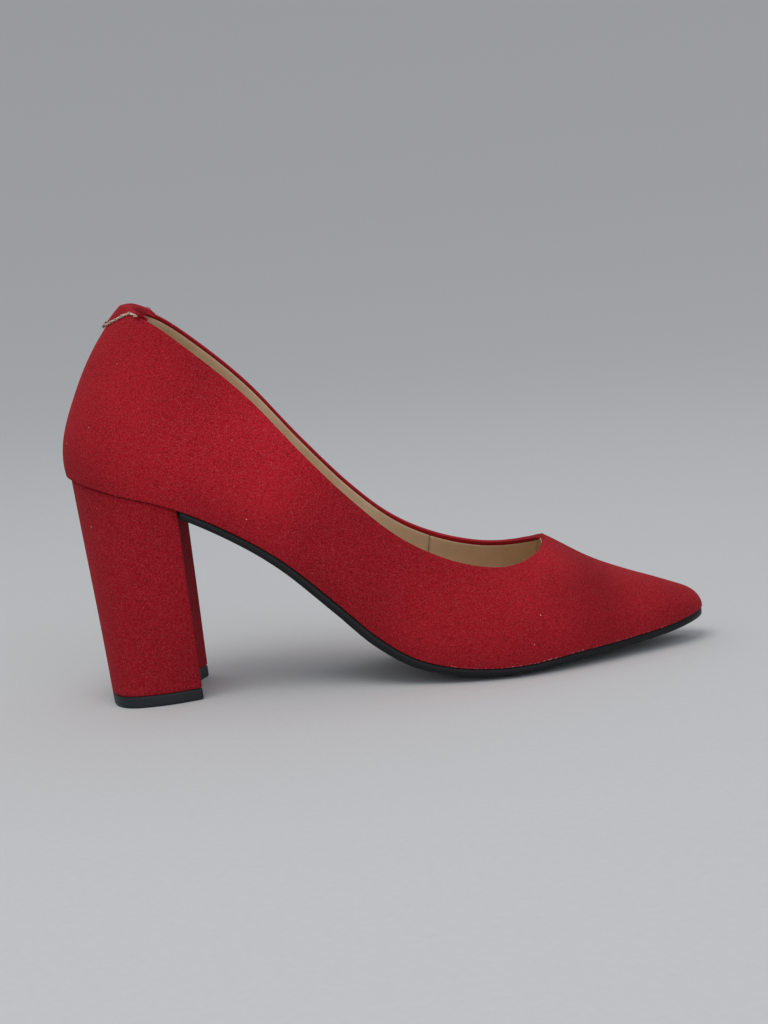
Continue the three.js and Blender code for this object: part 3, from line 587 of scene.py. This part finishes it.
def makeUpper(o):
    us = shellPlaces(-1.0, 2.0)
    us[1:1] = o["seamRings"]  # close rings beside the back seam keep its groove narrow
    outShares = np.linspace(0, 1, o["rows"]) ** 1.2
    inShares = np.linspace(1, 0, o["insideRows"]) ** 1.2

    def turned(u, side, lift):
        s = sectionAt(u, side, 0)
        reach = max(s["foot"] - o["margin"], o["leastReach"] * s["foot"])
        x = s["origin"][0] + s["direction"][0] * reach
        y = s["origin"][1] + s["direction"][1] * reach
        return np.array([x, y, float(bottom(x)) + lift * steepness(x)])

    # The topline edge is turned in over the tape, so its inner face stands deeper than the wall below.
    def fold(u, side, lowest):
        if u > 1:
            return [lowest] * 3
        deep = wallPoint(u, side, o["foldedEdge"], 0)
        if u == 1:
            return [deep, deep, lowest]
        return [deep, wallPoint(u, side, o["foldedEdge"], o["foldHeight"] - 0.4),
                wallPoint(u, side, o["thickness"], o["foldHeight"])]

    def ring(u, side):
        out = wallRows(u, side, 0, 0, outShares)
        if u == -1:
            out[:, 0] += o["seamGroove"]
        drop = o["foldHeight"] if u < 1 else 0
        back = wallRows(u, side, o["thickness"], o["thickness"], inShares, drop)
        inside = [*fold(u, side, back[0]), *back[1:]]
        if u >= 2:
            return [out[0], *out, *inside, back[-1]]
        return [turned(u, side, 0), *out, *inside, turned(u, side, o["thickness"])]

    builder = Builder()
    joinSides(builder, ring, us, {o["rows"]})
    for u in (u for u in us if u > o["cementFrom"]):
        for side in (-1, 1):
            for corner in ring(u, side)[1:3]:
                builder.mark(corner)
    piece = builder.build("upperSuede", bevel=o["edgeRound"], segments=4, wobble=o["wobble"])
    finishPiece(piece, ["upper"], suedeRed)


makeUpper(upperLook)
print("stage: upper made")

# Linings: the quarter's and the vamp's meet edge to edge at a seam.
liningLook = {"depth": 2.3, "edgeDepth": 2.15, "thickness": 0.6, "topDrop": 1.5, "lift": 1.3, "rows": 26,
              "seam": 8 / 17, "seamGap": 0.001, "edgeRound": 0.25}


def makeLining(name, start, end, node, o):
    us = shellPlaces(start, end, side=70, toe=40)
    shares = np.linspace(0, 1, o["rows"])

    def ring(u, side):
        drop = o["topDrop"] if u < 1 else 0
        out = wallRows(u, side, o["depth"], o["lift"], shares, drop)
        back = wallRows(u, side, o["depth"] + o["thickness"], o["lift"], shares[::-1], drop)
        if u < 1:  # the top edge is drawn out to the fold
            out[-1] = wallPoint(u, side, mix(o["depth"], o["edgeDepth"], clamp((1 - u) * 10)), o["topDrop"])
        return [*out, *back]

    builder = Builder()
    joinSides(builder, ring, us, {o["rows"] - 1})
    piece = builder.build(name, bevel=o["edgeRound"], segments=2)
    finishPiece(piece, [node], liningCoat)


quarterEnd, vampStart = (liningLook["seam"] + way * liningLook["seamGap"] for way in (-1, 1))
makeLining("quarterLiningCoated", -1.0, quarterEnd, "quarter_lining", liningLook)
makeLining("vampLiningCoated", vampStart, 2.0, "vamp_lining", liningLook)
print("stage: linings made")

# Sock lining: padded at the heel and thin at its edges.
sockLook = {"depth": 6.5, "thickness": 0.8, "inset": 3.0, "tip": 226, "leanEnd": 190, "across": 22,
            "along": 150, "heelDome": 0.9, "domeX": 30, "domeReach": 34, "edgeFall": 0.5}


def makeSock(o):
    start = last["seatX"] - last["seatHalfLength"] + o["inset"]
    places = start + (o["tip"] - start) * (1 - np.cos(np.pi * np.linspace(0, 1, o["along"]))) / 2
    rings = []
    for x in places:
        base = offBottom(x, 0, o["depth"])
        at = base[0] - float(lean(x)) * o["depth"] if last["seatX"] < x < o["leanEnd"] else x
        low, high = sideLimits(at, o["inset"], o["tip"])
        under, over = [], []
        for s in np.linspace(-1, 1, o["across"]):
            y = mix(low, high, (s + 1) / 2)
            dome = o["heelDome"] * clamp(1 - ((x - o["domeX"]) / o["domeReach"]) ** 2) * (1 - abs(s) ** 2.5)
            fall = o["edgeFall"] * abs(s) ** 12
            under.append(offBottom(x, y, o["depth"]))
            over.append(offBottom(x, y, o["depth"] + o["thickness"] + dome - fall))
        rings.append(under + over[::-1])
    builder = Builder()
    builder.loft(rings, capStart=True, capEnd=True)
    finishPiece(builder.build("sockLiningCoated"), ["sock_lining"], sockCoat)


makeSock(sockLook)

# Heel grip: a patch inside the back.
gripLook = {"depth": 3.15, "thickness": 0.6, "high": 8.5, "low": 40, "end": -0.12, "rounding": 10, "rows": 14,
            "along": 40}


def makeGrip(o):
    us = [float(u) for u in np.linspace(-1, o["end"], o["along"])]

    def ring(u, side):
        t = (u + 1) / (o["end"] + 1)
        curveIn = o["rounding"] * t**4  # rounded ends
        drops = np.linspace(o["low"] - curveIn, o["high"] + curveIn * 0.6, o["rows"])
        out = [wallPoint(u, side, o["depth"], d) for d in drops]
        back = [wallPoint(u, side, o["depth"] + o["thickness"], d) for d in drops[::-1]]
        return out + back

    builder = Builder()
    joinSides(builder, ring, us, {-1})
    finishPiece(builder.build("heelGripPatch"), ["heel_grip"], liningCoat)


makeGrip(gripLook)
print("stage: inside made")

# Outsole: thin at its rim, thicker in the middle under the ball.
soleLook = {
    "inset": 0.3, "bevel": 0.45, "across": 25, "along": 170, "start": 43.6, "hollow": 4.5, "corner": 24.2,
    "hollowReach": 25, "topGap": 0.08, "bottomGap": 0.3,
}


def makeSole(o):
    tip = last["toeX"] - o["inset"]
    rings = []
    for x in o["start"] + (tip - o["start"]) * np.sin(np.linspace(0, math.pi / 2, o["along"])):
        low, high = sideLimits(x, o["inset"], tip)
        fade = clamp(1 - (x - o["start"]) / o["hollowReach"])
        bevel = min(o["bevel"], (high - low) / 5)
        under, over = [], []
        for s in np.sin(np.linspace(-math.pi / 2, math.pi / 2, o["across"])):
            y = mix(low, high, (s + 1) / 2)
            at = x - fade * o["hollow"] * max(0.0, 1 - (y / o["corner"]) ** 2)
            thickness = mix(float(soleMiddle(at)), float(soleRim(at)), s**4)
            ground = float(bottom(at)) - (o["bottomGap"] + thickness) * steepness(at)
            yUnder = mix(low + bevel, high - bevel, (s + 1) / 2)
            over.append([at, y, float(bottom(at)) - o["topGap"] * steepness(at)])
            under.append([at, yUnder, max(0.0, ground)])
        # a small bevel runs along the lower edge
        first = [under[0][0], mix(over[0][1], under[0][1], 0.15), under[0][2] + bevel]
        final = [under[-1][0], mix(over[-1][1], under[-1][1], 0.15), under[-1][2] + bevel]
        rings.append([first, *under, final, *over[::-1]])
    builder = Builder()
    builder.loft(rings)
    size, n, start = len(rings[0]), o["across"], rings[0]
    for j in range(n - 1):  # back end, hollowed like the heel breast
        builder.face([start[1 + j], start[size - 1 - j], start[size - 2 - j], start[2 + j]])
    builder.face([start[0], start[size - 1], start[1]])
    builder.face([start[n], start[n + 2], start[n + 1]])
    finishPiece(builder.build("outsoleMoulded"), ["outsole"], soleRubber)


makeSole(soleLook)
print("stage: outsole made")

# Heel: the suede cover and the rubber tip share one outline, round behind and hollow in front.
heelLook = {
    "foot": {"back": 9.8, "widest": 25.5, "front": 45, "half": 25.2, "corner": 20.4, "power": 2.7},
    "head": {"back": 3.6, "widest": 28, "front": 42.8, "half": 25.2, "corner": 24.2, "power": 2.15},
    "headZ": 78, "aboveSeat": 88, "seatGap": 0.3, "tip": 4.4, "tipGap": 0.15, "cover": 0.9, "hollow": 4.5,
    "levels": 60, "around": 220, "cornerRound": 1.1, "stretchCounts": (252, 72, 204, 72), "rolledIn": 0.35,
    "seamX": 34, "seamHalf": 0.9, "seamDepth": 0.45, "tipMiddle": 27,
    "tipProfile": ((0.0, 0.7), (0.15, 0.3), (0.5, 0.05), (1.2, 0.0), (3.4, 0.0), (4.1, 0.05), (4.4, 0.3)),
}


def heelOutline(z, inset, o):
    t = (z - o["tip"]) / (o["headZ"] - o["tip"])
    size = {k: mix(o["foot"][k], o["head"][k], t) for k in o["foot"]}
    back, front = size["back"] + inset, size["front"] - inset
    half, corner = size["half"] - inset, size["corner"] - inset
    a = np.linspace(math.pi / 2, -math.pi / 2, 161)
    e = 2 / size["power"]
    xs = size["widest"] - (size["widest"] - back) * np.abs(np.cos(a)) ** e
    ys = half * np.sign(np.sin(a)) * np.abs(np.sin(a)) ** e
    s = np.linspace(0, 1, 60)
    sideX, sideY = mix(size["widest"], front, s), mix(half, corner, s**2)
    y = np.linspace(-corner, corner, 120)
    breast = front - o["hollow"] * (1 - (y / corner) ** 2)
    # each stretch has its own count, so that the corners keep their places at every height
    stretches = ((xs, ys), (sideX, -sideY), (breast, y), (sideX[::-1], sideY[::-1]))
    even = np.concatenate([
        alongLine(np.stack([x, across, 0 * x], axis=1), np.linspace(0, 1, count + 1))[:-1]
        for (x, across), count in zip(stretches, o["stretchCounts"])
    ])
    # a running mean rounds the corners as the cover does
    width = int(round(o["cornerRound"] / np.linalg.norm(even[1] - even[0])))
    kernel = np.hanning(2 * width + 3)[1:-1]
    kernel /= kernel.sum()
    pad = len(kernel) // 2
    for k in range(2):
        wrapped = np.concatenate([even[-pad:, k], even[:, k], even[:pad, k]])
        even[:, k] = np.convolve(wrapped, kernel, mode="valid")
    picked = np.linspace(0, len(even), o["around"], endpoint=False).astype(int)
    return even[picked][:, :2]


def heelGrid(inset, low, levels, o):  # rows of points from z = low up to the seat
    lowRow, highRow = heelOutline(low, inset, o), heelOutline(o["aboveSeat"], inset, o)
    grid = []
    for t in np.linspace(0, 1, levels):
        z = np.full(o["around"], mix(low, o["headZ"], t))
        for _ in range(3):  # the seat's height depends on x, and x on the height
            share = (z - low) / (o["aboveSeat"] - low)
            flat = lowRow + (highRow - lowRow) * share[:, None]
            steep = np.hypot(1, bottom(flat[:, 0] + 0.5) - bottom(flat[:, 0] - 0.5))
            z = mix(low, bottom(flat[:, 0]) - o["seatGap"] * steep, t)
        grid.append(np.column_stack([flat, z]))
    return grid


def makeHeelCover(o):
    low = o["tip"] + o["tipGap"]
    outer = heelGrid(0.0, low, o["levels"], o)
    inner = heelGrid(o["cover"], low, 3, o)
    # the lower edge is rolled in a little where it is turned under
    firstRow = heelGrid(o["rolledIn"], low, 2, o)[0]
    outer[0][:, 2] += o["rolledIn"]
    # a butted seam runs down the middle of the breast
    for row in outer:
        middle = (row[:, 0] > o["seamX"]) & (np.abs(row[:, 1]) < o["seamHalf"])
        row[middle, 0] -= o["seamDepth"] * (1 - np.abs(row[middle, 1]) / o["seamHalf"])
    rings = list(np.stack([firstRow, *outer, *inner[::-1]], axis=1))
    builder = Builder()
    builder.loft(rings + [rings[0]])
    finishPiece(builder.build("heelCoverSuede", wobble=0.08), ["heel_cover"], suedeHeelShaded)


def makeTopPiece(o):
    body = [np.column_stack([heelOutline(z, inset, o), np.full(o["around"], z)])
            for z, inset in o["tipProfile"]]
    centre = np.array([o["tipMiddle"], 0.0])

    def shrunk(ring, share):
        new = ring.copy()
        new[:, :2] = centre + (ring[:, :2] - centre) * share
        return new

    rows = [shrunk(body[0], 0.02), shrunk(body[0], 0.5), *body, shrunk(body[-1], 0.5), shrunk(body[-1], 0.02)]
    rings = list(np.stack(rows, axis=1))
    builder = Builder()
    builder.loft(rings + [rings[0]], closedRing=False)
    builder.face(rows[0])
    builder.face(rows[-1][::-1])
    finishPiece(builder.build("heelTipRubber"), ["top_piece"], tipRubber)


makeHeelCover(heelLook)
makeTopPiece(heelLook)
print("stage: heel made")

# Back tab: a strip folded over the back of the topline, with raw cut edges.
tabLook = {"end": -0.5, "deep": 6.5, "shallow": 0.2, "ragged": 0.35, "stand": 0.08, "thickness": 0.65,
           "inside": 3.75, "rise": 0.35, "along": 48}


def tabDepth(u, o):
    t = (u + 1) / (o["end"] + 1)
    ragged = o["ragged"] * noise.noise(Vector((u * 40, 3.1, 0.0)))
    return mix(o["deep"], o["shallow"], min(1.0, t / 0.75) ** 2) + ragged * (1 - t * 0.6)


def tabPoint(u, side, depth, drop):  # a negative drop stands above the topline
    if drop >= 0:
        return wallPoint(u, side, depth, drop)
    p = wallPoint(u, side, clamp(depth, 0, 2.9), 0)
    q = wallPoint(u, side, depth, 0)
    return np.array([q[0] - float(lean(last["seatX"])) * drop, q[1], p[2] - drop])


def makeTab(o):
    us = [float(u) for u in np.linspace(-1, o["end"], o["along"])]
    far, near, thick, rise = o["inside"], -o["stand"], o["thickness"], o["rise"]

    def ring(u, side):
        deep = tabDepth(u, o)
        at = lambda depth, drop: tabPoint(u, side, depth, drop)
        outer = [at(near - thick, deep), at(near - thick, deep * 0.75), at(near - thick, deep * 0.5),
                 at(near - thick, deep * 0.25), at(near - thick + 0.05, 0.2),
                 at(near - thick + 0.25, -rise - 0.35), at(0.3, -rise - thick),
                 at(1.5, -rise - thick - 0.1), at(2.7, -rise - thick), at(far + thick - 0.25, -rise - 0.35),
                 at(far + thick - 0.05, 0.2), at(far + thick, deep * 0.4), at(far + thick, deep * 0.9)]
        inner = [at(far, deep * 0.9), at(far, deep * 0.4), at(far, 0.2), at(2.9, -rise),
                 at(1.5, -rise - 0.05), at(0.2, -rise), at(near, 0.2), at(near, deep * 0.3),
                 at(near, deep * 0.6), at(near, deep)]
        return outer + inner

    builder = Builder()
    joinSides(builder, ring, us, {-1})
    finishPiece(builder.build("backTabSuede"), ["back_tab"], suedeTab)


def tube(builder, points, radius, sides=5):
    points = [np.asarray(p, float) for p in points]
    rings = []
    for i, p in enumerate(points):
        ahead = points[min(i + 1, len(points) - 1)] - points[max(i - 1, 0)]
        ahead = ahead / (np.linalg.norm(ahead) + 1e-9)
        sideways = np.cross(ahead, [0.2, 0.9, 0.4])
        sideways /= np.linalg.norm(sideways) + 1e-9
        up = np.cross(ahead, sideways)
        r = radius[i] if hasattr(radius, "__len__") else radius
        rings.append([p + r * (math.cos(a) * sideways + math.sin(a) * up)
                      for a in np.linspace(0, 2 * math.pi, sides, endpoint=False)])
    for i in range(len(rings) - 1):
        for j in range(sides):
            k = (j + 1) % sides
            builder.face([rings[i][j], rings[i][k], rings[i + 1][k], rings[i + 1][j]])
    builder.face(rings[0][::-1])
    builder.face(rings[-1])


# The cut edge shows the split's backing: twisted, broken beige threads, with brown painted shade between
# them.
edgeLook = {"seed": 7, "strands": 3, "twist": 46, "across": 0.28, "along": 0.25, "below": 0.12,
            "radius": 0.24, "fibres": 150, "fibreRadius": 0.075}


def makeTabEdge(tab, o):
    rng = random.Random(o["seed"])
    builder = Builder()
    depth = -tab["stand"] - tab["thickness"] * 0.55
    for strand in range(o["strands"]):
        for side in (-1, 1):
            points = []
            for u in np.linspace(-1, tab["end"] - 0.01, 90):
                turn = u * o["twist"] + strand * 2.1
                drop = tabDepth(u, tab) + o["below"] + o["along"] * math.sin(turn)
                points.append(wallPoint(u, side, depth + o["across"] * math.cos(turn), drop))
            tube(builder, points, o["radius"] + 0.05 * strand)
    for _ in range(o["fibres"]):
        side = rng.choice((-1, 1))
        u = mix(-1, tab["end"], rng.random())
        start = wallPoint(u, side, depth, tabDepth(u, tab) + 0.1)
        way = Vector((rng.uniform(-1, 1), rng.uniform(-1, 1), rng.uniform(-1, 0.5))).normalized()
        length = rng.uniform(0.5, 1.8)
        bend = Vector((rng.uniform(-1, 1), rng.uniform(-1, 1), rng.uniform(-1, 1))) * 0.5
        points = [np.array(start) + np.array(way * length * t + bend * t * t) for t in np.linspace(0, 1, 5)]
        tube(builder, points, np.linspace(o["fibreRadius"], 0.02, 5), sides=3)
    finishPiece(builder.build("tabCutEdge"), [], threadBeige)


# Red fibres stand out where the strip is cut, at the back seam and at its front ends. Each group has its
# place, the ranges of its fibres' directions along x and z, their number and the greatest length.
frayLook = {
    "seed": 8, "radius": 0.13, "tip": 0.04,
    "groups": ((-0.985, (-1.0, 0.1), (-0.9, 0.4), 90, 1.0), (-0.5, (-0.2, 1.0), (-0.3, 0.8), 80, 1.6)),
}


def makeFrays(tab, o):
    rng = random.Random(o["seed"])
    builder = Builder()
    for place, sweepX, sweepZ, count, longest in o["groups"]:
        for _ in range(count):
            side = rng.choice((-1, 1))
            u = clamp(place + rng.uniform(-0.05, 0.05), -1, tab["end"])
            drop = tabDepth(u, tab) * rng.uniform(0.8, 1.08) if place < -0.9 else rng.uniform(-0.8, 1.0)
            start = np.array(tabPoint(u, side, rng.uniform(-1.0, -0.3), drop))
            way = np.array([rng.uniform(*sweepX), side * rng.uniform(-0.2, 0.9), rng.uniform(*sweepZ)])
            way *= rng.uniform(0.6, longest) / np.linalg.norm(way)
            sag = np.array([0, 0, -rng.uniform(0.0, 0.6)])
            tube(builder, [start + way * t + sag * t * t for t in np.linspace(0, 1, 5)],
                 np.linspace(o["radius"], o["tip"], 5), sides=3)
    finishPiece(builder.build("tabFrays"), [], suedeTab)


makeTab(tabLook)
makeTabEdge(tabLook, edgeLook)
makeFrays(tabLook, frayLook)
print("stage: back tab made")

# Parts inside the shoe keep the frame's own bodies, and get their materials here.
carried = {
    "interlining": woven("wovenBacker", "#E4DFD2", "#C8C1AF", 1.18),
    "topline_tape": woven("toplineTape", "#EDE9DD", "#CFC8B8", 0.99),
    "toe_puff": speckled("toePuffFelt", "#C2AE8B", "#A59070", 0.8),
    "heel_counter": speckled("counterFelt", "#C2AE8B", "#A59070", 0.8),
    "sock_foam": speckled("sockFoam", "#EFE6CC", "#DDD2B4", 0.5),
    "heel_pad": speckled("heelPadFoam", "#F0E3C0", "#DACBA2", 0.6),
    "insole_board_back": speckled("fibreBoard", "#A4845F", "#86694A", 0.7),
    "insole_board_front": speckled("celluloseBoard", "#B79C78", "#9A7F5D", 0.7),
    "steel_shank": scratched("springSteel", "#B4B6B8", "#7F8184", 0.34),
    "bottom_filler": speckled("corkFiller", "#B5834F", "#7C542F", 1.6, bumpMm=0.4),
    "heel_block": grained("mouldedAbs", "#E8E5DC", "#DDD9CE", 0.42, 0.5, 0.02),
}
wire = scratched("nailSteel", "#AEB0B2", "#77797C", 0.3)
brass = scratched("rivetBrass", "#C29B50", "#8C6C33", 0.32)
for name in ("heel_screw", "top_piece_pin_1", "top_piece_pin_2", *(f"heel_nail_{k}" for k in range(1, 5))):
    carried[name] = wire
for name in ("shank_rivet_rear", "shank_rivet_front"):
    carried[name] = brass
for name, material in carried.items():
    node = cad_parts[name]
    node.data.materials.clear()
    node.data.materials.append(material)
print("stage: carried-over parts dressed")

# Floor, light and camera.
studio = {
    "floor": "#DADCDE", "tooth": "#D7D9DB", "flatMm": 1200, "sweepMm": 3400, "riseMm": 1100, "key": 7.5,
    "keySize": 0.9, "fill": 5.2, "fillSize": 1.6, "world": 0.52,
}


def makeFloor(o):  # seamless: flat in the middle, rising gently all round like a shallow bowl
    profile = [(o["flatMm"] / 2, 0), (o["flatMm"], 0)]
    profile += [(o["flatMm"] + o["sweepMm"] * t, o["riseMm"] * t * t) for t in np.linspace(0.08, 1, 20)]
    turns = np.linspace(0, 2 * math.pi, 96, endpoint=False)
    rings = [[[r * math.cos(a), r * math.sin(a), z] for a in turns] for r, z in profile]
    builder = Builder()
    builder.loft(rings)
    builder.face(rings[0])
    floor = builder.build("studioFloor")
    for polygon in floor.data.polygons:
        if polygon.normal.dot(Vector((-polygon.center.x, -polygon.center.y, 1.0))) < 0:
            polygon.flip()
    # Matt painted board: pale and even, with only a faint tooth from the roller.
    material, tree, surface, place = newMaterial("paleSweep", Roughness=0.92)
    tooth = add(tree, "ShaderNodeTexNoise", Vector=place, Scale=perMm(2.5), Detail=3.0).outputs["Fac"]
    tone = add(tree, "ShaderNodeValToRGB", {"stops": [(0.3, o["tooth"]), (0.7, o["floor"])]}, Fac=tooth)
    tree.links.new(tone.outputs[0], surface.inputs["Base Color"])
    floor.data.materials.append(material)


def addLight(name, place, target, size, power, colour):
    light = bpy.data.lights.new(name, "AREA")
    light.energy = power
    light.shape = "SQUARE"
    light.size = size
    light.color = linear(colour)[:3]
    lamp = bpy.data.objects.new(name, light)
    bpy.context.scene.collection.objects.link(lamp)
    lamp.visible_camera = False
    lamp.location = place
    lamp.rotation_euler = (Vector(target) - Vector(place)).to_track_quat("-Z", "Y").to_euler()


def makeStudio(o):
    makeFloor(o)
    addLight("keySoftbox", (-0.35, -0.45, 1.6), (0, 0, 0.06), o["keySize"], o["key"], "#FFFDF8")
    addLight("fillSoftbox", (0.5, -1.6, 0.9), (0, 0, 0.05), o["fillSize"], o["fill"], "#F4F7FF")
    world = bpy.data.worlds.new("studioWorld")
    bpy.context.scene.world = world
    world.use_nodes = True
    back = world.node_tree.nodes["Background"]
    back.inputs["Color"].default_value = linear("#EDEFF2")
    back.inputs["Strength"].default_value = o["world"]
    bpy.context.scene.view_settings.view_transform = "Standard"


cameraLook = {"yaw": 1.5, "pitch": 8.1, "roll": -5.4, "distance": 761.0, "target": (119.1, 0.0, 60.9),
              "lens": 70.3}


def makeCamera(o):
    yaw, pitch, roll = (math.radians(o[k]) for k in ("yaw", "pitch", "roll"))
    ahead = Vector((math.sin(yaw) * math.cos(pitch), math.cos(yaw) * math.cos(pitch), -math.sin(pitch)))
    right = Vector((math.cos(yaw), -math.sin(yaw), 0))
    up = right.cross(ahead)
    rolledRight = math.cos(roll) * right + math.sin(roll) * up
    rolledUp = -math.sin(roll) * right + math.cos(roll) * up
    place = (Vector(o["target"]) + Vector(shift) - ahead * o["distance"]) / 1000
    data = bpy.data.cameras.new("studioCamera")
    data.lens = o["lens"]
    data.sensor_width = 36
    data.clip_start = 0.01
    data.clip_end = 20
    camera = bpy.data.objects.new("studioCamera", data)
    bpy.context.scene.collection.objects.link(camera)
    axes = Matrix((rolledRight, rolledUp, -ahead)).transposed().to_4x4()
    camera.matrix_world = Matrix.Translation(place) @ axes
    bpy.context.scene.camera = camera


makeStudio(studio)
makeCamera(cameraLook)
print("stage: studio made")
